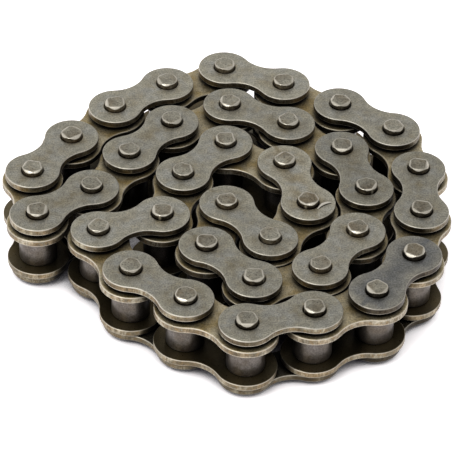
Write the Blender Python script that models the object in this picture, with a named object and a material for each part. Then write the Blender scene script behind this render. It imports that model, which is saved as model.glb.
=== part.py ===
"""Closed loop of simplex roller chain, folded double and coiled flat, lying on its side.

The pins stand upright and the plates lie level. The origin is the middle of the loop's
outline at the level that the lower pin ends rest on, +Z up. Lengths are in metres.
"""

import math

import bmesh
import bpy
from mathutils import Vector

MM = 0.001

# The chain: half-inch pitch
PITCH = 12.7 * MM
ROLLER_DIAMETER = 7.1 * MM
INNER_WIDTH = 6.75 * MM  # between the two inner plates
PLATE_THICKNESS = 1.3 * MM
INNER_PLATE_DEPTH = 11.6 * MM  # across a plate at its pins
INNER_PLATE_WAIST = 8.1 * MM  # across a plate at its middle
OUTER_PLATE_DEPTH = 10.4 * MM
OUTER_PLATE_WAIST = 6.6 * MM
PIN_DIAMETER = 3.96 * MM
PIN_LENGTH = 15.1 * MM
RUNNING_GAP = 0.3 * MM  # lower inner plate to outer plate, and pin to bush
TOP_GAP = 0.85 * MM  # upper inner plate to outer plate, as the inner links lie low on their pins
SIDE_GAP = 0.4 * MM  # between two links that lie side by side

# Facets
END_STEPS = 9  # along the round end of a plate
WAIST_STEPS = 3  # along each hollow flank
PIN_SIDES = 10
ROLLER_SIDES = 12
SHARP_ANGLE = math.radians(50)  # edges above this stay crisp when shaded
WELD = 0.001 * MM

# The way each link points in the heap, in degrees from +X, followed round the loop.
# Inner and outer links take turns, and the first is an inner link.
LEFT_FOLD = (279,)
SECOND_ROW = (41, 58, 53, 28, 335, 325, 291, 262, 237, 197, 135, 74)
CORE = (309, 57, 111, 153, 232, 255, 201)
OUTER_ROW = (299, 324, 332, 19, 27, 57, 81, 90, 112, 144, 152, 159, 208, 219, 232, 238)
SETTLE_ROUNDS = 400

# Finish: colour, roughness
METALLIC = 0.9
OUTER_STEEL = ((0.23, 0.23, 0.205), 0.42)
INNER_STEEL = ((0.19, 0.175, 0.14), 0.48)
DARK_STEEL = ((0.16, 0.165, 0.165), 0.38)
DARK_OUTER_LINK = 13  # one outer link is a darker, bluer grey than the rest

HALF_INNER_LINK = INNER_WIDTH / 2 + PLATE_THICKNESS
INNER_PLATE_LEVEL = HALF_INNER_LINK - PLATE_THICKNESS / 2
OUTER_PLATE_LEVEL = HALF_INNER_LINK + (TOP_GAP + RUNNING_GAP + PLATE_THICKNESS) / 2
INNER_LINK_DROP = (TOP_GAP - RUNNING_GAP) / 2  # from the middle of the pins


def clear_scene():
    for obj in list(bpy.data.objects):
        bpy.data.objects.remove(obj, do_unlink=True)


def collection(name):
    made = bpy.data.collections.new(name)
    bpy.context.scene.collection.children.link(made)
    return made


def steel(name, colour, roughness):
    material = bpy.data.materials.new(name)
    material.use_nodes = True
    shader = material.node_tree.nodes["Principled BSDF"]
    shader.inputs["Base Color"].default_value = (*colour, 1)
    shader.inputs["Metallic"].default_value = METALLIC
    shader.inputs["Roughness"].default_value = roughness
    material.diffuse_color = (*colour, 1)
    return material


def arc(centre, radius, start, end, steps):
    """Points on an arc from the angle start to the angle end, both ends included."""
    turns = [start + (end - start) * i / steps for i in range(steps + 1)]
    return [(centre[0] + radius * math.cos(t), centre[1] + radius * math.sin(t)) for t in turns]


def plate_outline(depth, waist):
    """Figure-of-eight outline along X: two round ends joined by hollow flanks tangent to both."""
    reach, radius, half_waist = PITCH / 2, depth / 2, waist / 2
    hollow = (reach**2 + half_waist**2 - radius**2) / (2 * (radius - half_waist))
    lean = math.atan2(half_waist + hollow, reach)  # from a pin towards the hollow's centre
    end = math.pi - lean
    right_end = arc((reach, 0), radius, -end, end, END_STEPS)
    left_end = arc((-reach, 0), radius, lean, 2 * math.pi - lean, END_STEPS)
    top = arc((0, half_waist + hollow), hollow, -lean, lean - math.pi, WAIST_STEPS)[1:-1]
    bottom = arc((0, -half_waist - hollow), hollow, math.pi - lean, lean, WAIST_STEPS)[1:-1]
    return right_end + top + left_end + bottom


def plate(name, outline, level, home):
    """A flat plate of the outline, extruded from a filled curve, at a level above mid height."""
    curve = bpy.data.curves.new(name, "CURVE")
    curve.dimensions = "2D"
    curve.fill_mode = "BOTH"
    curve.extrude = PLATE_THICKNESS / 2
    spline = curve.splines.new("POLY")
    spline.points.add(len(outline) - 1)
    for point, (x, y) in zip(spline.points, outline):
        point.co = (x, y, 0, 1)
    spline.use_cyclic_u = True
    drawn = bpy.data.objects.new(name + "_curve", curve)
    home.objects.link(drawn)
    drawn.location.z = level
    bpy.context.view_layer.update()
    graph = bpy.context.evaluated_depsgraph_get()
    mesh = bpy.data.meshes.new_from_object(drawn.evaluated_get(graph))
    welded = bmesh.new()
    welded.from_mesh(mesh)
    bmesh.ops.remove_doubles(welded, verts=welded.verts, dist=WELD)
    bmesh.ops.recalc_face_normals(welded, faces=welded.faces)
    welded.to_mesh(mesh)
    welded.free()
    made = bpy.data.objects.new(name, mesh)
    home.objects.link(made)
    made.matrix_world = drawn.matrix_world
    bpy.data.objects.remove(drawn, do_unlink=True)
    return made


def round_bar(name, x, diameter, length, sides, home):
    """An upright round bar on the pin axis at x, centred at mid height."""
    mesh = bpy.data.meshes.new(name)
    bar = bmesh.new()
    bmesh.ops.create_cone(bar, cap_ends=True, segments=sides, radius1=diameter / 2,
                          radius2=diameter / 2, depth=length)
    bar.to_mesh(mesh)
    bar.free()
    made = bpy.data.objects.new(name, mesh)
    home.objects.link(made)
    made.location.x = x
    return made


def boolean(target, operation, others):
    for other in others:
        modifier = target.modifiers.new(other.name, "BOOLEAN")
        modifier.operation = operation
        modifier.solver = "EXACT"
        modifier.object = other


def finished_mesh(target, name):
    """The mesh of the target with its Booleans worked in, smooth on its round faces."""
    bpy.context.view_layer.update()
    graph = bpy.context.evaluated_depsgraph_get()
    mesh = bpy.data.meshes.new_from_object(target.evaluated_get(graph))
    mesh.transform(target.matrix_world)
    mesh.name = name
    mesh.shade_smooth()
    mesh.set_sharp_from_angle(angle=SHARP_ANGLE)
    return mesh


def outer_link_mesh(home):
    """Two outer plates and the two pins that are riveted into them."""
    outline = plate_outline(OUTER_PLATE_DEPTH, OUTER_PLATE_WAIST)
    lower = plate("outer_plate_lower", outline, -OUTER_PLATE_LEVEL, home)
    upper = plate("outer_plate_upper", outline, OUTER_PLATE_LEVEL, home)
    pins = [round_bar(f"pin_{side}", x, PIN_DIAMETER, PIN_LENGTH, PIN_SIDES, home)
            for side, x in (("left", -PITCH / 2), ("right", PITCH / 2))]
    boolean(lower, "UNION", [*pins, upper])
    return finished_mesh(lower, "outer_link")


def inner_link_mesh(home):
    """Two inner plates on two bushes with their rollers, bored for the pins."""
    outline = plate_outline(INNER_PLATE_DEPTH, INNER_PLATE_WAIST)
    lower = plate("inner_plate_lower", outline, -INNER_PLATE_LEVEL, home)
    upper = plate("inner_plate_upper", outline, INNER_PLATE_LEVEL, home)
    bore = (PIN_DIAMETER + 2 * RUNNING_GAP) / math.cos(math.pi / PIN_SIDES)  # flats clear the pin
    barrels = []
    bores = []
    for side, x in (("left", -PITCH / 2), ("right", PITCH / 2)):
        barrels.append(round_bar(f"roller_{side}", x, ROLLER_DIAMETER,
                                 INNER_WIDTH + PLATE_THICKNESS, ROLLER_SIDES, home))
        bores.append(round_bar(f"bore_{side}", x, bore, PIN_LENGTH, PIN_SIDES, home))
    boolean(lower, "UNION", [*barrels, upper])
    boolean(lower, "DIFFERENCE", bores)
    return finished_mesh(lower, "inner_link")


def set_distance(points, i, j, distance):
    """Moves two points along the line between them until they are the distance apart."""
    apart = points[j] - points[i]
    move = apart * (1 - distance / apart.length) / 2
    points[i] = points[i] + move
    points[j] = points[j] - move


def pins_of_the_loop():
    """Pin centres: the links are walked one by one, closed, then pushed to pitch and clearance."""
    headings = LEFT_FOLD + SECOND_ROW + CORE + OUTER_ROW
    steps = [PITCH * Vector((math.cos(math.radians(h)), math.sin(math.radians(h))))
             for h in headings]
    count = len(steps)
    open_end = sum(steps, Vector((0, 0)))
    pins = [sum(steps[:i], Vector((0, 0))) - open_end * i / count for i in range(count)]
    closest = INNER_PLATE_DEPTH + SIDE_GAP
    apart = [(i, j) for i in range(count) for j in range(i + 2, count) if j - i < count - 1]
    for _ in range(SETTLE_ROUNDS):
        for i in range(count):
            set_distance(pins, i, (i + 1) % count, PITCH)
        for i, j in apart:
            if (pins[j] - pins[i]).length < closest:
                set_distance(pins, i, j, closest)
    return pins


def places_of_links(pins):
    """Middle and heading of each link, with the whole loop's outline centred on the origin."""
    outline = plate_outline(INNER_PLATE_DEPTH, INNER_PLATE_WAIST)
    places = []
    for i, pin in enumerate(pins):
        along = pins[(i + 1) % len(pins)] - pin
        places.append((pin + along / 2, math.atan2(along.y, along.x)))
    edge = []
    for middle, heading in places[::2]:
        cosine, sine = math.cos(heading), math.sin(heading)
        edge += [(middle.x + x * cosine - y * sine, middle.y + x * sine + y * cosine)
                 for x, y in outline]
    xs, ys = zip(*edge)
    centre = Vector(((min(xs) + max(xs)) / 2, (min(ys) + max(ys)) / 2))
    return [(middle - centre, heading) for middle, heading in places]


def place_link(name, mesh, middle, level, heading, finish, parent, home):
    link = bpy.data.objects.new(name, mesh.copy())
    home.objects.link(link)
    link.parent = parent
    link.location = (middle.x, middle.y, level)
    link.rotation_euler.z = heading
    link.data.materials.clear()
    link.data.materials.append(steel(name + "_steel", *finish))


def main():
    clear_scene()
    chain = collection("roller_chain")
    helpers = collection("helpers")
    helpers.hide_render = True
    meshes = (inner_link_mesh(helpers), outer_link_mesh(helpers))
    for helper in helpers.objects:
        helper.hide_render = True
        helper.display_type = "WIRE"
    loop = bpy.data.objects.new("roller_chain", None)
    chain.objects.link(loop)
    for i, (middle, heading) in enumerate(places_of_links(pins_of_the_loop())):
        number = i // 2 + 1
        if i % 2 == 0:
            name, level, finish = f"inner_link_{number:02d}", PIN_LENGTH / 2 - INNER_LINK_DROP, INNER_STEEL
        else:
            name, level = f"outer_link_{number:02d}", PIN_LENGTH / 2
            finish = DARK_STEEL if number == DARK_OUTER_LINK else OUTER_STEEL
        place_link(name, meshes[i % 2], middle, level, heading, finish, loop, chain)


main()
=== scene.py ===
# %% [markdown]
# # A coil of roller chain
#
# The object is one endless loop of small roller chain. It is folded double and coiled flat, and it
# lies on its side, so every pin stands upright and every plate lies level. The frame that is loaded
# here has one solid for each link. On the real chain a link is several pieces of steel, so in this
# lesson each link's solid gives way to its plates, pins, bushes and rollers.

import math
import random

import bmesh
import bpy
from mathutils import Matrix, Vector


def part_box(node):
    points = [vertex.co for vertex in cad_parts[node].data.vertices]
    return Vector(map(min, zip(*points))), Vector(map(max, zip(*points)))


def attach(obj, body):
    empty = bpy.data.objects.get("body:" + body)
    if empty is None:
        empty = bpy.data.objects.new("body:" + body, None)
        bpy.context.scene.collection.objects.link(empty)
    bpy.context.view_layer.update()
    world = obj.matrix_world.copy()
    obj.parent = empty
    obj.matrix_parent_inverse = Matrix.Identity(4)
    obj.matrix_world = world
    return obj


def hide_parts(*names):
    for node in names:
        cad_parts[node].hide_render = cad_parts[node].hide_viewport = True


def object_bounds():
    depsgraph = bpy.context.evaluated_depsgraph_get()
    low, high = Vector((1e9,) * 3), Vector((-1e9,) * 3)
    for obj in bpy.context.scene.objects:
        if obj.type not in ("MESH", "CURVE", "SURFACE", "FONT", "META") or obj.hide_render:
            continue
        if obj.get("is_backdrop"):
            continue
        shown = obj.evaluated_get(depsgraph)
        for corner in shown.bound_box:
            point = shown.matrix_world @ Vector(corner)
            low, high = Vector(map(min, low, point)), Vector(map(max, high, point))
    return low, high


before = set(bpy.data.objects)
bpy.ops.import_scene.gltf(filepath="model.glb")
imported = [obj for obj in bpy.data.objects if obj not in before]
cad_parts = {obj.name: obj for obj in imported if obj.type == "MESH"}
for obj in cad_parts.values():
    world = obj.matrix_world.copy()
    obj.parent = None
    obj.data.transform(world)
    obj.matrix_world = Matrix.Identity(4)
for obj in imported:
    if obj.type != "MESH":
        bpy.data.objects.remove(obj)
cad_low, cad_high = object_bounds()
print("links in the frame:", len(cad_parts))

# %% [markdown]
# ## The sizes of the chain
#
# Blender measures in metres, and a chain is a matter of millimetres, so every size below is written
# in millimetres and multiplied once. The pitch is the distance from pin to pin, and everything else
# on a chain is sized to go with it.

# %% Sizes
MM = 0.001
PITCH = 12.7 * MM
PLATE_THICKNESS = 1.3 * MM
OUTER_PLATE_DEPTH = 10.4 * MM  # across a plate at its pins
OUTER_PLATE_WAIST = 6.6 * MM  # across a plate at its middle
INNER_PLATE_DEPTH = 11.6 * MM
INNER_PLATE_WAIST = 8.1 * MM
INNER_WIDTH = 6.75 * MM  # between the two inner plates
RUNNING_GAP = 0.3 * MM  # lower inner plate to outer plate, and pin to bush
TOP_GAP = 0.85 * MM  # upper inner plate to outer plate
PIN_DIAMETER = 3.96 * MM
BUSH_DIAMETER = 5.6 * MM
ROLLER_DIAMETER = 7.1 * MM
TOUCH = 0.001 * MM  # two points closer than this are one point

PIN_LENGTH = cad_high.z - cad_low.z
MID_LEVEL = (cad_high.z + cad_low.z) / 2
INNER_PLATE_LEVEL = (INNER_WIDTH + PLATE_THICKNESS) / 2  # above or below the middle
OUTER_PLATE_LEVEL = INNER_PLATE_LEVEL + PLATE_THICKNESS + (TOP_GAP + RUNNING_GAP) / 2
INNER_LINK_DROP = (TOP_GAP - RUNNING_GAP) / 2  # an inner link lies low on its pins
print(f"pins {PIN_LENGTH / MM:.2f} mm long, middle level {MID_LEVEL / MM:.2f} mm")

# %% [markdown]
# ## Where the links lie
#
# Nothing is placed by hand. The lower ends of an outer link's two pins are the only points of that
# link at floor level, so they give both pin centres. An inner link has no pins of its own: its
# middle is the middle of its box, because a link looks the same from both ends, and the two pins
# that it turns on are the ones half a pitch away from there.

# %% Pin centres from the frame
NEARBY = 0.6 * PITCH  # a little over the half pitch from an inner link's middle to its pins


def pin_centres(node):
    """The centres of an outer link's two pins, from the corners of the pins' lower ends."""
    low_points = [v.co for v in node.data.vertices if v.co.z < cad_low.z + TOUCH]
    corners = sorted({(round(point.x, 6), round(point.y, 6)) for point in low_points})
    corners = [Vector(corner) for corner in corners]
    near = [c for c in corners if (c - corners[0]).length < PITCH / 2]
    far = [c for c in corners if (c - corners[0]).length > PITCH / 2]
    return [sum(end, Vector((0, 0))) / len(end) for end in (near, far)]


outer_links = {}
for name, node in sorted(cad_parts.items()):
    if name.startswith("outer"):
        outer_links[name] = pin_centres(node)
pins = [pin for ends in outer_links.values() for pin in ends]

inner_links = {}
for name in sorted(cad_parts):
    if name.startswith("inner"):
        low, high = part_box(name)
        middle = ((low + high) / 2).to_2d()
        inner_links[name] = [pin for pin in pins if (pin - middle).length < NEARBY]
with_both = sum(len(ends) == 2 for ends in inner_links.values())
print("pins:", len(pins), "inner links with two pins:", with_both)

# %% [markdown]
# ## Tools for modelling by hand
#
# In edit mode Blender's operators act on what is selected. With the mouse you would click; in a
# script you select by place. These helpers open a piece, select its points, edges or faces by a
# test on where they are, and close it again.

# %% Selecting by place
CRISP_ANGLE = math.radians(40)  # an edge between faces that meet at more than this is crisp


def open_piece(piece):
    """Makes the piece the active one and opens it in edit mode."""
    bpy.ops.object.select_all(action="DESELECT")
    piece.select_set(True)
    bpy.context.view_layer.objects.active = piece
    bpy.ops.object.mode_set(mode="EDIT")


def close_piece():
    """Goes back to object mode and gives the piece that was open."""
    bpy.ops.object.mode_set(mode="OBJECT")
    return bpy.context.object


def select(kind, test):
    """Selects the open piece's VERTs, EDGEs or FACEs whose corners all pass the test."""
    bpy.ops.mesh.select_mode(type=kind)
    bpy.ops.mesh.select_all(action="DESELECT")
    drawn = bmesh.from_edit_mesh(bpy.context.object.data)
    for part in {"VERT": drawn.verts, "EDGE": drawn.edges, "FACE": drawn.faces}[kind]:
        corners = [part] if kind == "VERT" else part.verts
        if all(test(corner.co) for corner in corners):
            part.select_set(True)
    drawn.select_flush_mode()
    bmesh.update_edit_mesh(bpy.context.object.data)


def round_off(test, width, steps, least_angle=CRISP_ANGLE):
    """Bevels the edges whose two ends pass the test, where two faces meet at an angle."""
    select("EDGE", test)
    drawn = bmesh.from_edit_mesh(bpy.context.object.data)
    for edge in drawn.edges:
        if edge.select and edge.calc_face_angle(0) < least_angle:
            edge.select_set(False)
    bmesh.update_edit_mesh(bpy.context.object.data)
    bpy.ops.mesh.bevel(offset=width, segments=steps, profile=0.5, affect="EDGES")


def apply_modifier(piece, kind, **settings):
    """Gives a piece a modifier with these settings and applies it."""
    modifier = piece.modifiers.new(kind.lower(), kind)
    for name, value in settings.items():
        setattr(modifier, name, value)
    bpy.ops.object.modifier_apply(modifier=modifier.name)


# %% [markdown]
# ## A link plate
#
# A chain plate is punched from strip: two round ends joined by a narrower waist, with a hole for
# each pin. It is the same on all four sides of its middle, so only a quarter is drawn. The quarter
# hole is half a circle, and spinning one point, first round the pin and then round the centre of
# the hollow flank, draws the outline. Bridging the two lines gives a clean strip of faces with the
# hole already in it, which a Boolean cut would not.

# %% Draw a quarter of a plate
END_STEPS = 16  # along a quarter of the outline, round the pin
WAIST_STEPS = 6  # from there to the middle of the waist


def quarter_plate(depth, waist, hole):
    """Opens a flat quarter of a plate, with its half hole, in edit mode."""
    reach, radius, half_waist, hole_radius = PITCH / 2, depth / 2, waist / 2, hole / 2
    hollow = (reach**2 + half_waist**2 - radius**2) / (2 * (radius - half_waist))
    lean = math.atan2(half_waist + hollow, reach)  # of the line from the pin to the hollow's centre
    bpy.ops.object.select_all(action="DESELECT")
    bpy.ops.mesh.primitive_circle_add(vertices=2 * END_STEPS, radius=hole_radius)
    bpy.ops.object.mode_set(mode="EDIT")
    bpy.ops.transform.translate(value=(reach, 0, 0))
    select("VERT", lambda place: place.y < -TOUCH)
    bpy.ops.mesh.delete(type="VERT")
    select("VERT", lambda place: abs(place.y) < TOUCH and place.x < reach)
    bpy.ops.mesh.extrude_region_move(TRANSFORM_OT_translate={"value": (hole_radius - reach, 0, 0)})
    select("EDGE", lambda place: abs(place.y) < TOUCH)
    bpy.ops.mesh.subdivide(number_cuts=WAIST_STEPS - 1)
    select("VERT", lambda place: abs(place.y) < TOUCH and place.x > reach)
    bpy.ops.mesh.duplicate_move(TRANSFORM_OT_translate={"value": (radius - hole_radius, 0, 0)})
    bpy.ops.mesh.spin(steps=END_STEPS, angle=math.pi - lean, center=(reach, 0, 0), axis=(0, 0, -1))
    bpy.ops.mesh.spin(steps=WAIST_STEPS, angle=lean - math.pi / 2,
                      center=(0, half_waist + hollow, 0), axis=(0, 0, -1))
    bpy.ops.mesh.select_all(action="SELECT")
    bpy.ops.mesh.bridge_edge_loops()


# %% [markdown]
# Mirroring the quarter twice gives the flat plate, an inset gives it a ring of faces along each
# edge to hold the shading, and Solidify gives it its thickness. Punching rolls the edge over on
# one face and leaves it crisp on the other, so the two faces get unlike bevels. On a chain the
# rolled edge faces outwards. Two level cuts through the sides leave lines of points close to the
# bevels, so that the wear and the painted highlight that are written on the points later end
# there.

# %% Make a plate from the quarter
PRESS_FIT = 0.02 * MM  # how much wider a plate's hole is drawn than the pin or bush in it
PLATE_HOLE = PIN_DIAMETER + PRESS_FIT
ROLLED_EDGE = 0.22 * MM
CRISP_EDGE = 0.1 * MM
COUNTERSINK = 0.3 * MM
RING_WIDTH = 1.6  # of the ring of faces along an edge, as a multiple of the rolled edge
# The line of points also ends the painted highlight that the worn rim carries.
LINE_STEP = 0.12 * MM  # from a rounded edge to the line of points that ends its wear


def near_hole(place, hole, margin):
    """True where a place is within a margin of one of the two holes."""
    return math.hypot(abs(place.x) - PITCH / 2, place.y) < hole / 2 + margin


def plate(name, depth, waist, hole, countersink):
    """A plate at the origin with its rolled edge up."""
    quarter_plate(depth, waist, hole)
    piece = close_piece()
    piece.name = name
    apply_modifier(piece, "MIRROR", use_axis=(True, True, False), merge_threshold=TOUCH)
    open_piece(piece)
    bpy.ops.mesh.select_all(action="SELECT")
    bpy.ops.mesh.normals_make_consistent(inside=False)
    bpy.ops.mesh.inset(thickness=RING_WIDTH * ROLLED_EDGE, use_boundary=True, use_even_offset=True)
    close_piece()
    apply_modifier(piece, "SOLIDIFY", thickness=PLATE_THICKNESS, offset=0)
    open_piece(piece)
    bpy.ops.mesh.select_all(action="SELECT")
    bpy.ops.mesh.normals_make_consistent(inside=False)
    margin = countersink + TOUCH
    round_off(lambda p: p.z > TOUCH and not near_hole(p, hole, margin), ROLLED_EDGE, 3)
    round_off(lambda p: p.z < -TOUCH and not near_hole(p, hole, margin), CRISP_EDGE, 1)
    round_off(lambda p: p.z > TOUCH and near_hole(p, hole, margin), countersink, 2)
    upper_line = PLATE_THICKNESS / 2 - ROLLED_EDGE - LINE_STEP
    lower_line = CRISP_EDGE + LINE_STEP - PLATE_THICKNESS / 2
    for level in (upper_line, lower_line):
        bpy.ops.mesh.select_all(action="SELECT")
        bpy.ops.mesh.bisect(plane_co=(0, 0, level), plane_no=(0, 0, 1))
    close_piece()
    bpy.ops.object.shade_smooth_by_angle(angle=CRISP_ANGLE)
    return piece


outer_plate = plate("outer_plate", OUTER_PLATE_DEPTH, OUTER_PLATE_WAIST, PLATE_HOLE, COUNTERSINK)
inner_plate = plate("inner_plate", INNER_PLATE_DEPTH, INNER_PLATE_WAIST, BUSH_DIAMETER + PRESS_FIT,
                    COUNTERSINK / 2)
for piece in (outer_plate, inner_plate):
    size = ", ".join(f"{side / MM:.2f}" for side in piece.dimensions)
    print(f"{piece.name}: {size} mm, {len(piece.data.polygons)} faces")

# %% [markdown]
# ## A pin
#
# A pin is a plain round bar until it is riveted: a press or a hammer spreads each end until it
# grips the plate. The end stays flat in the middle, and the blows that spread it leave slanting
# facets, so the flat has the outline of an uneven polygon. Bisecting the bar with slanting planes
# cuts the facets, merging the slivers cleans up after them, and a small bevel rounds every edge
# between them. An inset gives the flat a margin, which later ends the wear of its rim and the
# bright ring that is painted there as a highlight. Eight pins are made with unlike blows and then
# shared out.

# %% Strike a facet
chance = random.Random(36)


def strike(end, way, tilt, flat):
    """Cuts a facet at the upper (1) or lower (-1) end that leaves the flat this far from the axis."""
    x, y = math.cos(way), math.sin(way)
    lean = Vector((x * math.sin(tilt), y * math.sin(tilt), end * math.cos(tilt)))
    edge = Vector((x * flat, y * flat, end * PIN_LENGTH / 2))
    bpy.ops.mesh.select_all(action="SELECT")
    bpy.ops.mesh.bisect(plane_co=edge, plane_no=lean, clear_outer=True, use_fill=True)


# %% Make the riveted pins
PIN_SIDES = 32
PIN_MODELS = 8
HEAD = 0.9 * MM  # the length of pin that riveting shapes, at each end
BLOWS = (4, 5, 6)  # how many an end can have
UNEVENNESS = 0.25  # how far a blow is off its even place, as a share of the turn to the next
FACET_TILTS = (30, 48)  # the least and the most, in degrees
FLAT_REACHES = (1.52, 1.75)  # from the axis to the near edge of a facet, in millimetres
SAME_PLANE = math.radians(2)  # faces that meet at less than this are joined
MERGED = 0.14 * MM  # points of a head that are closer than this become one
FACET_ANGLE = math.radians(18)  # facets that meet at less than this keep their plain edge
FACET_EDGE = 0.11 * MM
FLAT_MARGIN = 0.2 * MM
PIN_SMOOTHING = math.radians(28)


def riveted_pin(number):
    """An upright pin at the origin, with blows of its own on both ends."""
    bpy.ops.object.select_all(action="DESELECT")
    bpy.ops.mesh.primitive_cylinder_add(vertices=PIN_SIDES, radius=PIN_DIAMETER / 2, depth=PIN_LENGTH)
    piece = bpy.context.object
    piece.name = f"pin_{number}"
    open_piece(piece)
    for end in (1, -1):
        first = chance.uniform(0, 2 * math.pi)
        blows = chance.choice(BLOWS)
        for blow in range(blows):
            off_place = chance.uniform(-UNEVENNESS, UNEVENNESS)
            way = first + (blow + off_place) * 2 * math.pi / blows
            tilt = math.radians(chance.uniform(*FACET_TILTS))
            strike(end, way, tilt, chance.uniform(*FLAT_REACHES) * MM)
    bpy.ops.mesh.select_all(action="SELECT")
    bpy.ops.mesh.dissolve_limited(angle_limit=SAME_PLANE)
    select("VERT", lambda place: abs(place.z) > PIN_LENGTH / 2 - HEAD)
    bpy.ops.mesh.remove_doubles(threshold=MERGED)
    round_off(lambda place: abs(place.z) > PIN_LENGTH / 2 - HEAD, FACET_EDGE, 3, FACET_ANGLE)
    select("FACE", lambda place: abs(place.z) > PIN_LENGTH / 2 - TOUCH)
    bpy.ops.mesh.inset(thickness=FLAT_MARGIN)
    close_piece()
    bpy.ops.object.shade_smooth_by_angle(angle=PIN_SMOOTHING)
    return piece


pin_models = [riveted_pin(number) for number in range(PIN_MODELS)]
print("pin models:", [len(piece.data.polygons) for piece in pin_models], "faces")

# %% [markdown]
# ## A bush and a roller
#
# Both are short tubes. A cylinder is added, its two ends are inset to the bore, and bridging the
# inset faces opens the bore through the middle. The bush is pressed into the inner plates and is
# flush with them. The roller is a little shorter than the space between the plates, so that it
# turns freely, and its rims are rounded.

# %% Make a tube
TUBE_SIDES = 48


def tube(name, outside, bore, length, rounding):
    """An upright tube at the origin, rounded on the outside at both ends."""
    bpy.ops.object.select_all(action="DESELECT")
    bpy.ops.mesh.primitive_cylinder_add(vertices=TUBE_SIDES, radius=outside / 2, depth=length)
    piece = bpy.context.object
    piece.name = name
    open_piece(piece)
    bpy.ops.mesh.select_mode(type="FACE")
    drawn = bmesh.from_edit_mesh(piece.data)
    for face in drawn.faces:
        face.select_set(abs(face.normal.z) > 0.5)  # the two ends, and not the sides
    bmesh.update_edit_mesh(piece.data)
    bpy.ops.mesh.inset(thickness=(outside - bore) / 2)
    bpy.ops.mesh.bridge_edge_loops()
    bpy.ops.mesh.select_all(action="SELECT")
    bpy.ops.mesh.normals_make_consistent(inside=False)
    round_off(lambda place: place.to_2d().length > bore / 2 + TOUCH, rounding, 3)
    close_piece()
    bpy.ops.object.shade_smooth_by_angle(angle=CRISP_ANGLE)
    return piece


# %% Make the bush and the roller
BUSH_BORE = PIN_DIAMETER + 2 * RUNNING_GAP
BUSH_LENGTH = INNER_WIDTH + 2 * PLATE_THICKNESS
BUSH_RIM = 0.1 * MM
ROLLER_BORE = BUSH_DIAMETER + 0.2 * MM
ROLLER_PLAY = 0.25 * MM
ROLLER_LENGTH = INNER_WIDTH - ROLLER_PLAY
ROLLER_RIM = 0.25 * MM
ROLLER_LEVEL = TOUCH - INNER_LINK_DROP - ROLLER_PLAY / 2  # it stands on the lower inner plate

bush = tube("bush", BUSH_DIAMETER, BUSH_BORE, BUSH_LENGTH, BUSH_RIM)
roller = tube("roller", ROLLER_DIAMETER, ROLLER_BORE, ROLLER_LENGTH, ROLLER_RIM)
for piece in (bush, roller):
    across, along = piece.dimensions.x / MM, piece.dimensions.z / MM
    print(f"{piece.name}: {across:.2f} mm across, {along:.2f} mm long")

# %% [markdown]
# ## Where the steel is worn, and where highlight and shade are painted
#
# Handling and running wear the steel bright along its rounded edges first, and the same
# brightening is also a painted highlight on the rims and round the pin heads. A plate is rubbed to
# another colour towards its margin than along its middle. The punched sides are rougher and browner
# than the flat faces, oil stays in the countersink round a pin and stains the plate beside it, and
# the black in the countersink is also a painted shadow at the pin's foot. The face that a plate
# turns to the rollers carries a film of oil, which the materials paint dark where it is shaded. All
# this follows the shape, so it is written on the models' points as attributes, which the materials
# read. A point's normal tells whether it lies on a flat face, a side or the rounding between.

# %% Mark sides, rims, countersinks, margins and oily faces
SINK_REACH = 0.9  # from the edge of a hole, in widths of its countersink: within the countersink
STAIN_REACH = 1.1  # the same, with the countersink's outer edge
UNRUBBED_REACH = 2  # the same, to where the colour of the margin begins
STEEPEST_RIM = 0.8  # where side is more than this, a point lies on the plain side below the rim


def write_mark(piece, name, values):
    """Writes an attribute on a piece's points, over the one of that name if there is one."""
    marks = piece.data.attributes
    mark = marks.get(name) or marks.new(name, "FLOAT", "POINT")
    mark.data.foreach_set("value", values)


def mark_wear_and_painted_light(piece, edge, hole=0.0, countersink=0.0, punched=1.0, rim_wear_and_highlight=4.0):
    """Writes side, rim, sink, stain, margin and oily, each from 0 to 1, on the points of a model.

    The edge is how deep its rounding reaches at both ends, and punched is 0 for a ground side.
    """
    end = max(point.co.z for point in piece.data.vertices)
    marks = {"side": [], "rim": [], "sink_and_shadow": [], "stain": [], "margin": [], "oily": []}
    for point in piece.data.vertices:
        side = 1 - abs(point.normal.z)
        rounded = abs(point.co.z) > end - edge - TOUCH
        in_sink = hole > 0 and near_hole(point.co, hole, countersink * SINK_REACH)
        round_sink = hole > 0 and near_hole(point.co, hole, countersink * STAIN_REACH)
        unrubbed = near_hole(point.co, hole, countersink * UNRUBBED_REACH)
        # Worn steel, and also a painted highlight along the rounded edges and round the pin heads.
        wear_and_highlight = rounded and side < STEEPEST_RIM and not in_sink
        marks["side"].append(punched * (side if rounded else 1))
        marks["rim"].append(min(1, rim_wear_and_highlight * side * (1 - side)) ** 2 if wear_and_highlight else 0)
        # The countersink's black is oil and also a painted shadow at the pin's foot.
        marks["sink_and_shadow"].append(1 if in_sink else 0)
        marks["stain"].append(1 if round_sink else 0)
        marks["margin"].append(0 if unrubbed or abs(point.co.y) < TOUCH else 1)
        marks["oily"].append(1 if point.co.z < TOUCH - end else 0)
    for name, values in marks.items():
        write_mark(piece, name, values)


mark_wear_and_painted_light(outer_plate, ROLLED_EDGE, PLATE_HOLE, COUNTERSINK)
mark_wear_and_painted_light(inner_plate, ROLLED_EDGE)
for piece in (roller, bush):
    mark_wear_and_painted_light(piece, ROLLED_EDGE, punched=0.0)
for piece in pin_models:
    # A strong rim mark paints a bright ring round each pin head as highlight, as well as wear.
    mark_wear_and_painted_light(piece, HEAD, rim_wear_and_highlight=70.0)
print("marked points on an outer plate:", len(outer_plate.data.vertices))

# %% [markdown]
# ## Tools for materials
#
# A material is a small network of nodes. These helpers add a node and join its inputs in one line,
# which keeps the recipes below short enough to read. A noise pattern seldom leaves the range from
# 0.3 to 0.7, so a narrow spread turns its soft hills into patches, and a wide one only shades.

# %% Node helpers


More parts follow.
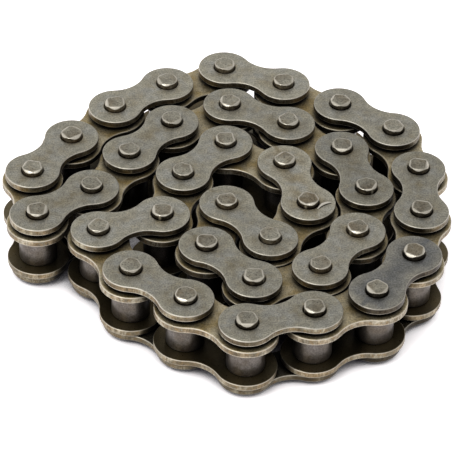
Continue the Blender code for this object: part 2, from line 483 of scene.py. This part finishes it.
def add_node(tree, kind, inputs=None, **settings):
    """Adds a node. An input is given by its name or number, as a value or as a socket to join."""
    node = tree.nodes.new(kind)
    for name, value in settings.items():
        setattr(node, name, value)
    for name, value in (inputs or {}).items():
        if isinstance(value, bpy.types.NodeSocket):
            tree.links.new(value, node.inputs[name])
        else:
            node.inputs[name].default_value = value
    return node


def noise(tree, place, size, detail):
    """A soft random pattern whose patches are about the size given, from 0 to 1."""
    inputs = {"Vector": place, "Scale": 1 / size, "Detail": detail}
    return add_node(tree, "ShaderNodeTexNoise", inputs).outputs["Fac"]


def open_sky(tree, reach):
    """How much of the sky a place sees past all that is within reach, from 0 to 1."""
    return add_node(tree, "ShaderNodeAmbientOcclusion", {"Distance": reach}, samples=8).outputs["AO"]


def attribute(tree, name):
    """A mark that was written on a piece's points, blended between them."""
    return add_node(tree, "ShaderNodeAttribute", attribute_name=name).outputs["Fac"]


def math_node(tree, operation, first, second):
    """The sum, product or other result of two values, each a number or a socket."""
    return add_node(tree, "ShaderNodeMath", {0: first, 1: second}, operation=operation).outputs["Value"]


def spread(tree, value, low, high, to_low=0.0, to_high=1.0):
    """Stretches the range from low to high over the range from to_low to to_high."""
    inputs = {"Value": value, "From Min": low, "From Max": high, "To Min": to_low, "To Max": to_high}
    return add_node(tree, "ShaderNodeMapRange", inputs).outputs["Result"]


def mix_colours(tree, share, first, second, way="MIX"):
    """Mixes two colours, each a socket or its red, green and blue. They are inputs 6 and 7."""
    inputs = {0: share}
    for number, colour in ((6, first), (7, second)):
        inputs[number] = (*colour, 1) if isinstance(colour, tuple) else colour
    return add_node(tree, "ShaderNodeMix", inputs, data_type="RGBA", blend_type=way).outputs[2]


def tinted(colour, tint):
    """A colour whose red, green and blue are multiplied by those of a tint."""
    return tuple(part * share for part, share in zip(colour, tint))


# %% [markdown]
# ## Patterns in the steel
#
# All the pieces are the same kind of steel, heat-treated grey and handled with oily hands, so one
# set of patterns serves every finish. Clouds and patches a few millimetres across shift the grey
# towards brown, mottling and a fine grain break up the shine, and specks and upright streaks are
# for the punched sides. Noise textures give all of them. An ambient occlusion node adds the share
# of open sky that a place sees, which is small in the corners. There it places the oil and dirt
# that gather, and also the shade that is painted into the colour.

# %% Patterns for a steel
CLOUD_SIZE = 4.5 * MM
PATCH_SIZE = 2.4 * MM
MOTTLE_SIZE = 1.3 * MM
SPECK_SIZE = 0.8 * MM
GRAIN_SIZE = 0.3 * MM
STREAK_SQUEEZE = 0.12  # of the upright axis, which draws the grain out into streaks


def steel_patterns(tree, reach):
    """The patterns by their names, each a socket, with the sky seen past all within reach."""
    place = add_node(tree, "ShaderNodeTexCoord").outputs["Object"]
    squeezed = add_node(tree, "ShaderNodeMapping", {"Vector": place, "Scale": (1, 1, STREAK_SQUEEZE)})
    return {"clouds": noise(tree, place, CLOUD_SIZE, 3),
            "patches": noise(tree, place, PATCH_SIZE, 3),
            "mottle": noise(tree, place, MOTTLE_SIZE, 3),
            "specks": noise(tree, place, SPECK_SIZE, 2),
            "grain": noise(tree, place, GRAIN_SIZE, 2),
            "streaks": noise(tree, squeezed.outputs["Vector"], GRAIN_SIZE, 2),
            "sky": open_sky(tree, reach)}


def fine_shade(tree, patterns):
    """The light and dark of grain and mottling, about 1 on average."""
    grain = spread(tree, patterns["grain"], 0.3, 0.7, 0.62, 1.38)
    mottle = spread(tree, patterns["mottle"], 0.3, 0.7, 0.82, 1.18)
    return math_node(tree, "MULTIPLY", grain, mottle)


# %% [markdown]
# ## The flat faces
#
# A face is pale where it is clean and brown where oil has soaked into it. Round a pin the stain is
# darker, on a link with much oil it spreads over the plate, and small stains lie wherever the
# mottling peaks. Towards its margin an outer plate is rubbed to a third colour.

# %% The colour of a flat face
STAIN_TINT = (0.85, 0.78, 0.66)  # shares of a finish's own brown
STAIN_STRENGTH = 0.7


def face_colour(tree, patterns, pale, brown, margin):
    """Pale and brown in clouds, then the stains, and the margin's colour where there is one."""
    clouds = patterns["clouds"]
    brownish = spread(tree, math_node(tree, "ADD", clouds, patterns["patches"]), 0.8, 1.24)
    colour = mix_colours(tree, brownish, pale, brown)
    halo = math_node(tree, "ADD", attribute(tree, "stain"), attribute(tree, "oiled"))
    halo = math_node(tree, "ADD", halo, spread(tree, clouds, 0.38, 0.64, -1.0, 0.0))
    small_stains = spread(tree, patterns["mottle"], 0.6, 0.78)
    stained = math_node(tree, "MAXIMUM", spread(tree, halo, 0.15, 0.75), small_stains)
    stained = math_node(tree, "MULTIPLY", stained, STAIN_STRENGTH)
    colour = mix_colours(tree, stained, colour, tinted(brown, STAIN_TINT))
    if margin:
        near_edge = math_node(tree, "POWER", attribute(tree, "margin"), 1.5)
        patchy = spread(tree, clouds, 0.36, 0.6, 0.35, 1.0)
        near_edge = math_node(tree, "MULTIPLY", near_edge, patchy)
        colour = mix_colours(tree, near_edge, colour, margin)
    return colour


# %% [markdown]
# ## The punched sides
#
# Punching tears the steel, so a side is rougher than a face and holds more dirt and rust: broad
# rusty clouds, darker patches, upright streaks from the punch and small rusty specks. How dark the
# sides are differs from link to link, partly as dirt and partly as painted shade, so that is an
# attribute as well, and the clouds carry the darkening further in one place than in another.

# %% The colour of a punched side
RUST_TINT = (0.8, 0.63, 0.46)  # shares of a finish's own side colour
SPECK_TINT = (0.52, 0.4, 0.27)
DARK_PATCH = (0.07, 0.056, 0.036)
DARK_STREAK = (0.12, 0.096, 0.062)


def side_colour(tree, patterns, side, shade, dirt_and_shade):
    """Rust, dark patches, streaks and specks on a side, darkened by its dirt and painted shade."""
    clouds = patterns["clouds"]
    rust = spread(tree, clouds, 0.47, 0.6, 0.0, 0.75)
    colour = mix_colours(tree, rust, side, tinted(side, RUST_TINT))
    dark_patches = spread(tree, patterns["patches"], 0.47, 0.6, 0.0, 0.7)
    colour = mix_colours(tree, dark_patches, colour, DARK_PATCH)
    colour = mix_colours(tree, spread(tree, patterns["streaks"], 0.42, 0.72), colour, DARK_STREAK)
    specks = spread(tree, patterns["specks"], 0.5, 0.62, 0.0, 0.75)
    colour = mix_colours(tree, specks, colour, tinted(side, SPECK_TINT))
    # Dirt and painted shade darken the side, more in some clouds than in others.
    dirty_and_shaded = math_node(tree, "ADD", dirt_and_shade, spread(tree, clouds, 0.35, 0.65, -0.3, 0.3))
    sooty_and_shaded = math_node(tree, "MULTIPLY", shade, spread(tree, dirty_and_shaded, 0.6, 1.1, 1.0, 0.35))
    return mix_colours(tree, 1.0, colour, sooty_and_shaded, "MULTIPLY")


# %% [markdown]
# ## Oil, dirt and painted shade
#
# Fresh oil is a film on the faces turned to the rollers. Its colour is painted shade: dark brown
# where little sky reaches it and golden where the sky still reaches it. A little golden oil lies
# in every open corner, and its darker colour there is painted shade as well. Deeper in, the steel
# is painted black as shade, and in the countersinks the black is old oil and a painted shadow at
# the pin's foot. The sides of the upper plates are painted darker where they come close to a
# neighbour. On a link with cleaner sides there is less of this black, and rims stay clear of it,
# as worn steel and as painted highlight.

# %% Oil and painted shade over a colour
# The film's colours: dark brown where it is painted as shaded, golden where it is lit.
SHADED_BROWN_OIL = (0.014, 0.011, 0.007)
GOLDEN_OIL = (0.08, 0.064, 0.036)
CORNER_OIL_AND_SHADE = (0.12, 0.09, 0.035)
# Painted shade: the black of deep places, and of old oil in them.
BLACK_OIL_AND_SHADE = (0.004, 0.0035, 0.004)


def add_fresh_oil_and_shade(tree, patterns, colour, oily, corner_oil_and_shade):
    """Lays the oil film, painted dark where shaded, then the oil and painted shade of corners."""
    thin_and_lit = spread(tree, patterns["sky"], 0.34, 0.62)
    thin_and_lit = math_node(tree, "MULTIPLY", thin_and_lit, spread(tree, patterns["clouds"], 0.35, 0.6, 0.6, 1.0))
    film = mix_colours(tree, thin_and_lit, SHADED_BROWN_OIL, GOLDEN_OIL)
    colour = mix_colours(tree, oily, colour, film)
    # Golden-brown oil in corners, whose darker colour is also painted shade.
    corner = math_node(tree, "MULTIPLY", spread(tree, patterns["sky"], 0.88, 0.5), corner_oil_and_shade)
    return mix_colours(tree, corner, colour, CORNER_OIL_AND_SHADE)


def add_black_oil_and_shade(tree, patterns, colour, dirt_and_shade, shut_in):
    """Paints shade and black oil as the open sky falls from the first to the second of shut_in."""
    black = spread(tree, patterns["sky"], *shut_in)
    upper_side = math_node(tree, "MULTIPLY", attribute(tree, "side"), attribute(tree, "upper"))
    # Painted shade on the sides of the upper plates where a neighbour shuts out the sky.
    grime_and_shade = spread(tree, patterns["sky"], 0.78, 0.45, 0.0, 0.76)
    grime_and_shade = math_node(tree, "MULTIPLY", upper_side, grime_and_shade)
    black = math_node(tree, "MAXIMUM", black, grime_and_shade)
    black = math_node(tree, "MULTIPLY", black, spread(tree, dirt_and_shade, 0.0, 0.5, 0.1, 1.0))
    # Black oil and painted shadow in the countersink round a pin's foot.
    black = math_node(tree, "MAXIMUM", black, attribute(tree, "sink_and_shadow"))
    # Rims stay clear of the black as worn steel and as a painted highlight.
    rim_clean_and_highlit = spread(tree, attribute(tree, "rim"), 0.0, 1.0, 1.0, 0.4)
    black = math_node(tree, "MULTIPLY", black, rim_clean_and_highlit)
    return mix_colours(tree, black, colour, BLACK_OIL_AND_SHADE)


# %% [markdown]
# ## The recipe
#
# The recipe puts the layers on in the order in which they came about: the face, the punched side,
# the worn rim with its painted highlight, the fresh oil and the black oil, both with painted shade.
# The grain roughens the surface, fresh oil smooths it, and grain and clouds together give it a
# very low relief.

# %% A recipe for oiled steel
METALLIC = 0.9
OIL_SMOOTHNESS = 0.16  # what a full film of oil takes off the roughness
RELIEF_HEIGHT = 0.03 * MM
RELIEF_STRENGTH = 0.35


def oiled_steel(name, pale, brown, side, bright, roughness, margin=None, corner_oil_and_shade=0.2, oily_face=0.0,
                shut_in=(0.6, 0.36), reach=9 * MM):
    """A steel with the colours of its clean, stained, punched and worn places.

    The margin is the colour towards a plate's edge, gathered the strength of the golden oil and
    painted shade in corners, and oily_face that of the oil on the face turned to the rollers. Black
    oil and painted shade begin and are complete where the two shares of open sky in shut_in are
    left, past all that is within reach.
    """
    material = bpy.data.materials.new(name)
    material.use_nodes = True
    tree = material.node_tree
    shader = tree.nodes["Principled BSDF"]
    patterns = steel_patterns(tree, reach)
    shade = fine_shade(tree, patterns)
    dirt_and_shade = attribute(tree, "dirt_and_shade")

    colour = face_colour(tree, patterns, pale, brown, margin)
    # The tone is the batch of strip, and on some links also painted light.
    tone_and_light = math_node(tree, "MULTIPLY", shade, attribute(tree, "tone_and_light"))
    colour = mix_colours(tree, 1.0, colour, tone_and_light, "MULTIPLY")
    punched = side_colour(tree, patterns, side, shade, dirt_and_shade)
    colour = mix_colours(tree, attribute(tree, "side"), colour, punched)
    # The worn rim, brightened also as a painted highlight.
    wear_and_highlight = spread(tree, patterns["clouds"], 0.25, 0.6, 0.45, 0.95)
    wear_and_highlight = math_node(tree, "MULTIPLY", attribute(tree, "rim"), wear_and_highlight)
    colour = mix_colours(tree, wear_and_highlight, colour, bright)
    oily = math_node(tree, "MULTIPLY", attribute(tree, "oily"), oily_face)
    colour = add_fresh_oil_and_shade(tree, patterns, colour, oily, corner_oil_and_shade)
    colour = add_black_oil_and_shade(tree, patterns, colour, dirt_and_shade, shut_in)
    tree.links.new(colour, shader.inputs["Base Color"])

    shader.inputs["Metallic"].default_value = METALLIC
    rough = spread(tree, patterns["grain"], 0.2, 0.8, roughness - 0.08, roughness + 0.1)
    rough = math_node(tree, "SUBTRACT", rough, math_node(tree, "MULTIPLY", oily, OIL_SMOOTHNESS))
    tree.links.new(rough, shader.inputs["Roughness"])
    height = math_node(tree, "ADD", patterns["grain"], patterns["clouds"])
    relief = {"Strength": RELIEF_STRENGTH, "Distance": RELIEF_HEIGHT, "Height": height}
    bump = add_node(tree, "ShaderNodeBump", relief)
    tree.links.new(bump.outputs["Normal"], shader.inputs["Normal"])
    return material


# %% [markdown]
# The outer plates are the cleanest, the inner plates keep a brown film of oil, the rollers are
# ground smooth and darker, and one outer link is of darker steel than the rest. The bushes are
# hardly seen and share the rollers' finish. A pin stands in the open, so the painted shade at its
# foot begins while it still sees much sky. A roller stands deep between its plates, so for its
# painted shade what shuts it in is looked for further away.

# %% Mix the finishes
# The bright rims are worn steel and also a painted highlight.
BRIGHT_EDGE = (0.67, 0.635, 0.55)
finishes = {
    "outer plate": oiled_steel(
        "outer_plate_steel", pale=(0.275, 0.27, 0.234), brown=(0.222, 0.198, 0.138),
        side=(0.315, 0.284, 0.205), bright=BRIGHT_EDGE, roughness=0.42,
        margin=(0.29, 0.275, 0.215), oily_face=0.6),
    "dark plate": oiled_steel(
        "dark_plate_steel", pale=(0.132, 0.135, 0.133), brown=(0.118, 0.117, 0.106),
        side=(0.066, 0.056, 0.043), bright=(0.42, 0.39, 0.33), roughness=0.36,
        margin=(0.25, 0.236, 0.19), oily_face=0.6),
    "inner plate": oiled_steel(
        "inner_plate_steel", pale=(0.43, 0.38, 0.264), brown=(0.3, 0.23, 0.105),
        side=(0.375, 0.342, 0.262), bright=BRIGHT_EDGE, roughness=0.46,
        corner_oil_and_shade=0.35, oily_face=0.9, shut_in=(0.55, 0.28)),
    "pin": oiled_steel(
        "pin_steel", pale=(0.258, 0.244, 0.192), brown=(0.165, 0.142, 0.1),
        side=(0.14, 0.12, 0.088), bright=(0.54, 0.505, 0.42), roughness=0.32,
        corner_oil_and_shade=0, shut_in=(0.75, 0.45)),
    "roller": oiled_steel(
        "roller_steel", pale=(0.128, 0.12, 0.118), brown=(0.098, 0.085, 0.076),
        side=(0.14, 0.12, 0.1), bright=(0.2, 0.18, 0.165), roughness=0.34,
        shut_in=(0.34, 0.17), reach=22 * MM),
}
print("finishes:", ", ".join(finishes))

# %% [markdown]
# ## Put the chain together
#
# Every piece is a copy of a model with a mesh of its own. The copy's mesh is turned and moved, and
# the object stays at the origin, so that a pattern on Object coordinates runs on from link to link
# and no two plates look alike. Each copy also gets a tone, a little lighter or darker than the
# next, because the plates come from different batches of strip. A link that stands out more is
# named here: by its tone, which is partly painted light that falls more on some links than on
# others, by the oil round its pins, or by the darkness of its sides, partly dirt and partly painted
# shade.

# %% What differs from link to link
# Partly painted light: links made lighter or darker where more or less light falls on them.
LINK_TONES_AND_LIGHT = {"outer_link_01": 0.93, "outer_link_02": 0.91, "outer_link_04": 0.78,
              "outer_link_05": 0.93, "outer_link_06": 0.92, "outer_link_08": 1.08,
              "outer_link_11": 0.92, "outer_link_12": 0.86, "outer_link_14": 0.88,
              "outer_link_16": 1.14, "outer_link_17": 1.06}
BATCH_TONES = (0.94, 1.05)  # the darkest and the lightest piece of a link
LINK_OIL = {"outer_link_08": 0.9}  # how far its plates are stained brown from the pins
COMMON_OIL = 0.35
# Partly dirt and partly painted shade: how dark and black the sides of a link's plates are.
LINK_DIRT_AND_SHADE = {"outer_link_03": 0.3, "outer_link_05": 0.2, "outer_link_07": 0.0,
             "outer_link_10": 0.7, "outer_link_12": 0.88, "outer_link_13": 1.1,
             "outer_link_14": 0.9, "outer_link_15": 0.95, "outer_link_16": 0.1,
             "outer_link_17": 0.05, "outer_link_18": 0.0}  # how black the sides of its plates are
COMMON_DIRT_AND_SHADE = 0.5
print("links with a tone of their own:", len(LINK_TONES_AND_LIGHT), "with dirt of their own:", len(LINK_DIRT_AND_SHADE))

# %% Copy a model into place
coil = bpy.data.collections.new("roller_chain")
bpy.context.scene.collection.children.link(coil)


def set_piece(model, name, finish, place, level, turn, link, turned_over=False):
    """Puts a copy of a model on a link, at a level above or below the middle of the chain."""
    piece = bpy.data.objects.new(name, model.data.copy())
    coil.objects.link(piece)
    spot = Matrix.Translation((place.x, place.y, MID_LEVEL + level)) @ Matrix.Rotation(turn, 4, "Z")
    if turned_over:
        spot = spot @ Matrix.Rotation(math.pi, 4, "X")
    piece.data.transform(spot)
    marks = {"tone_and_light": chance.uniform(*BATCH_TONES) * LINK_TONES_AND_LIGHT.get(link, 1),
             "upper": 1 if level > 0 else 0,
             "oiled": LINK_OIL.get(link, COMMON_OIL),
             "dirt_and_shade": LINK_DIRT_AND_SHADE.get(link, COMMON_DIRT_AND_SHADE)}
    for mark, value in marks.items():
        write_mark(piece, mark, [value] * len(piece.data.vertices))
    piece.data.materials.append(finishes[finish])
    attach(piece, "root")
    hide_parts(link)


def middle_and_turn(ends):
    """The middle between a link's two pins, and how far the line through them is turned."""
    along = ends[1] - ends[0]
    return (ends[0] + ends[1]) / 2, math.atan2(along.y, along.x)


# %% Outer links
DARK_LINK = "outer_link_13"
SIDES = (("upper", 1), ("lower", -1))
for link, ends in outer_links.items():
    number = link[-2:]
    middle, turn = middle_and_turn(ends)
    dark = link == DARK_LINK
    finish = "dark plate" if dark else "outer plate"
    for side, way in SIDES:
        set_piece(outer_plate, f"outer_plate_{number}_{side}", finish, middle,
                  way * OUTER_PLATE_LEVEL, turn, link, turned_over=way < 0)
    for letter, end in zip("ab", ends):
        set_piece(chance.choice(pin_models), f"pin_{number}_{letter}", "pin", end, 0,
                  chance.uniform(0, 2 * math.pi), link)

# %% Inner links
for link, ends in inner_links.items():
    number = link[-2:]
    middle, turn = middle_and_turn(ends)
    for side, way in SIDES:
        level = way * INNER_PLATE_LEVEL - INNER_LINK_DROP
        set_piece(inner_plate, f"inner_plate_{number}_{side}", "inner plate", middle,
                  level, turn, link, turned_over=way < 0)
    for letter, end in zip("ab", ends):
        set_piece(bush, f"bush_{number}_{letter}", "roller", end, -INNER_LINK_DROP, 0, link)
        set_piece(roller, f"roller_{number}_{letter}", "roller", end, ROLLER_LEVEL,
                  chance.uniform(0, 2 * math.pi), link)

# %% [markdown]
# ## A raised sliver
#
# Beside one pin the press has raised a thin sliver of steel from the upper plate. It is a ball
# stretched long and thin, bent into a shallow bow and sunk to half its height in the plate. It is
# bright all over, as worn steel and a painted highlight, but for a painted shadow along its near
# side.

# %% The sliver beside a pin
SLIVER_LINK = "outer_link_08"
SLIVER_SIZE = Vector((1.7, 0.36, 0.34)) * MM  # half its length, width and height
SLIVER_BOW = 0.45 * MM
SLIVER_PLACE = Vector((18.5, -4.35)) * MM
SLIVER_TURN = math.radians(38)

bpy.ops.mesh.primitive_uv_sphere_add(segments=16, ring_count=16, radius=1)
sliver = bpy.context.object
bpy.ops.transform.rotate(value=math.pi / 2, orient_axis="Y")
bpy.ops.object.transform_apply(rotation=True)
for point in sliver.data.vertices:
    lift = SLIVER_BOW * (0.5 - point.co.x**2)
    point.co = Vector((point.co[i] * SLIVER_SIZE[i] for i in range(3))) + Vector((0, lift, 0))
bpy.ops.object.shade_smooth()
mark_wear_and_painted_light(sliver, SLIVER_SIZE.z)
near_side = [point.normal.y < -0.7 for point in sliver.data.vertices]
for name in ("side", "margin", "oily"):
    write_mark(sliver, name, [0] * len(near_side))
# Bright as wear and painted highlight, and black along the near side as painted shadow.
write_mark(sliver, "rim", [0 if near else 1 for near in near_side])
write_mark(sliver, "sink_and_shadow", [1 if near else 0 for near in near_side])
set_piece(sliver, "raised_sliver", "outer plate", SLIVER_PLACE,
          OUTER_PLATE_LEVEL + PLATE_THICKNESS / 2, SLIVER_TURN, SLIVER_LINK)

# %% Clear the models away
for model in (outer_plate, inner_plate, bush, roller, sliver, *pin_models):
    bpy.data.objects.remove(model, do_unlink=True)

# %% [markdown]
# ## Studio
#
# The coil lies on a plain white sheet that runs out of the picture. The sheet glows a little, a
# painted light that keeps it white, and near the coil both its colour and its glow fade with the
# share of sky that it sees. That paints a soft narrow shadow, and dark violet shade under the coil.

# %% Floor
FLOOR_SIZE = 4  # in metres, as are the distances and the size of the lamps and the camera below
SHADOW_REACH = 14 * MM
PAPER_ROUGHNESS = 0.9
FULL_GLOW = 0.6

bpy.ops.object.select_all(action="DESELECT")
bpy.ops.mesh.primitive_plane_add(size=FLOOR_SIZE)
floor = bpy.context.object
floor.name = "floor"
floor.location.z = cad_low.z
paper = bpy.data.materials.new("white_paper")
paper.use_nodes = True
paper_tree = paper.node_tree
paper_shader = paper_tree.nodes["Principled BSDF"]
paper_shader.inputs["Roughness"].default_value = PAPER_ROUGHNESS
paper_shader.inputs["Emission Color"].default_value = (1.0, 0.975, 0.975, 1)
sky_over_floor = open_sky(paper_tree, SHADOW_REACH)
# Painted shadow: the sheet's colour goes to dark violet where little sky reaches it.
paper_colour = mix_colours(paper_tree, spread(paper_tree, sky_over_floor, 0.1, 0.32),
                           (0.03, 0.022, 0.05), (0.96, 0.93, 0.93))
paper_tree.links.new(paper_colour, paper_shader.inputs["Base Color"])
# The glow is painted light, and it fades into painted shadow near the coil.
glow = spread(paper_tree, sky_over_floor, 0.24, 0.56, 0.0, FULL_GLOW)
paper_tree.links.new(glow, paper_shader.inputs["Emission Strength"])
floor.data.materials.append(paper)
floor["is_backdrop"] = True
print(f"floor: {FLOOR_SIZE} m square, at {floor.location.z / MM:.2f} mm")

# %% [markdown]
# A white world gives the even light of a tent, brighter on the left than on the right. Two soft
# lamps beside the camera put the bright glints on rims and pin heads. The Standard view shows the
# light as it falls, so that the white sheet is white in the picture.

# %% Light of the tent
LEFT_STRENGTH = 1.15
RIGHT_STRENGTH = 0.65

tent = bpy.data.worlds.new("white_tent")
tent.use_nodes = True
background = tent.node_tree.nodes["Background"]
background.inputs["Color"].default_value = (0.985, 0.98, 1.0, 1)
towards = add_node(tent.node_tree, "ShaderNodeTexCoord").outputs["Generated"]
rightwards = add_node(tent.node_tree, "ShaderNodeSeparateXYZ", {"Vector": towards}).outputs["X"]
strength = spread(tent.node_tree, rightwards, -1.0, 1.0, LEFT_STRENGTH, RIGHT_STRENGTH)
tent.node_tree.links.new(strength, background.inputs["Strength"])
bpy.context.scene.world = tent
bpy.context.scene.view_settings.view_transform = "Standard"

# %% Lamps
LAMP_ELEVATION = math.radians(56)
LAMP_DISTANCE = 0.7
LAMP_SIZE = 0.22


def direction(azimuth, elevation):
    """Points away from the coil. Azimuth 0 is the camera's side, and a quarter turn the right."""
    level = math.cos(elevation)
    return Vector((math.sin(azimuth) * level, -math.cos(azimuth) * level, math.sin(elevation)))


def soft_lamp(name, azimuth, power):
    """A square lamp that faces the coil, at an azimuth in degrees."""
    lamp = bpy.data.lights.new(name, "AREA")
    lamp.size = LAMP_SIZE
    lamp.energy = power
    holder = bpy.data.objects.new(name, lamp)
    bpy.context.scene.collection.objects.link(holder)
    way = direction(math.radians(azimuth), LAMP_ELEVATION)
    holder.location = way * LAMP_DISTANCE
    holder.rotation_euler = way.to_track_quat("Z", "Y").to_euler()
    print(f"{name}: {power} W, {LAMP_DISTANCE} m from the coil")


soft_lamp("lamp_left", azimuth=-42, power=1.55)
soft_lamp("lamp_right", azimuth=34, power=0.4)

# %% [markdown]
# ## Camera
#
# The photograph was taken with a long lens from a little over half a metre, looking down at forty
# degrees and tilted by a couple of degrees. Those numbers come from the pins: all 36 are one pitch
# apart, and only one camera sees them where the photograph does.

# %% Camera
CAMERA_ELEVATION = math.radians(40.1)
CAMERA_AZIMUTH = math.radians(0.23)
CAMERA_ROLL = math.radians(1.83)
CAMERA_DISTANCE = 0.5069
FOCAL_LENGTH = 217.4  # in millimetres, as Blender takes it
SENSOR_WIDTH = 36
AIM = Vector((0.28, -11.69, 14.355)) * MM  # the point in the middle of the photograph

lens = bpy.data.cameras.new("camera")
lens.lens = FOCAL_LENGTH
lens.sensor_width = SENSOR_WIDTH
lens.clip_start = 0.05
lens.clip_end = 20
camera = bpy.data.objects.new("camera", lens)
bpy.context.scene.collection.objects.link(camera)
back = direction(CAMERA_AZIMUTH, CAMERA_ELEVATION)
camera.location = AIM + back * CAMERA_DISTANCE
straight = back.to_track_quat("Z", "Y").to_matrix()
camera.rotation_euler = (straight @ Matrix.Rotation(CAMERA_ROLL, 3, "Z")).to_euler()
bpy.context.scene.camera = camera
print(f"camera: {CAMERA_DISTANCE} m from the coil, {FOCAL_LENGTH} mm lens")

low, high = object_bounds()
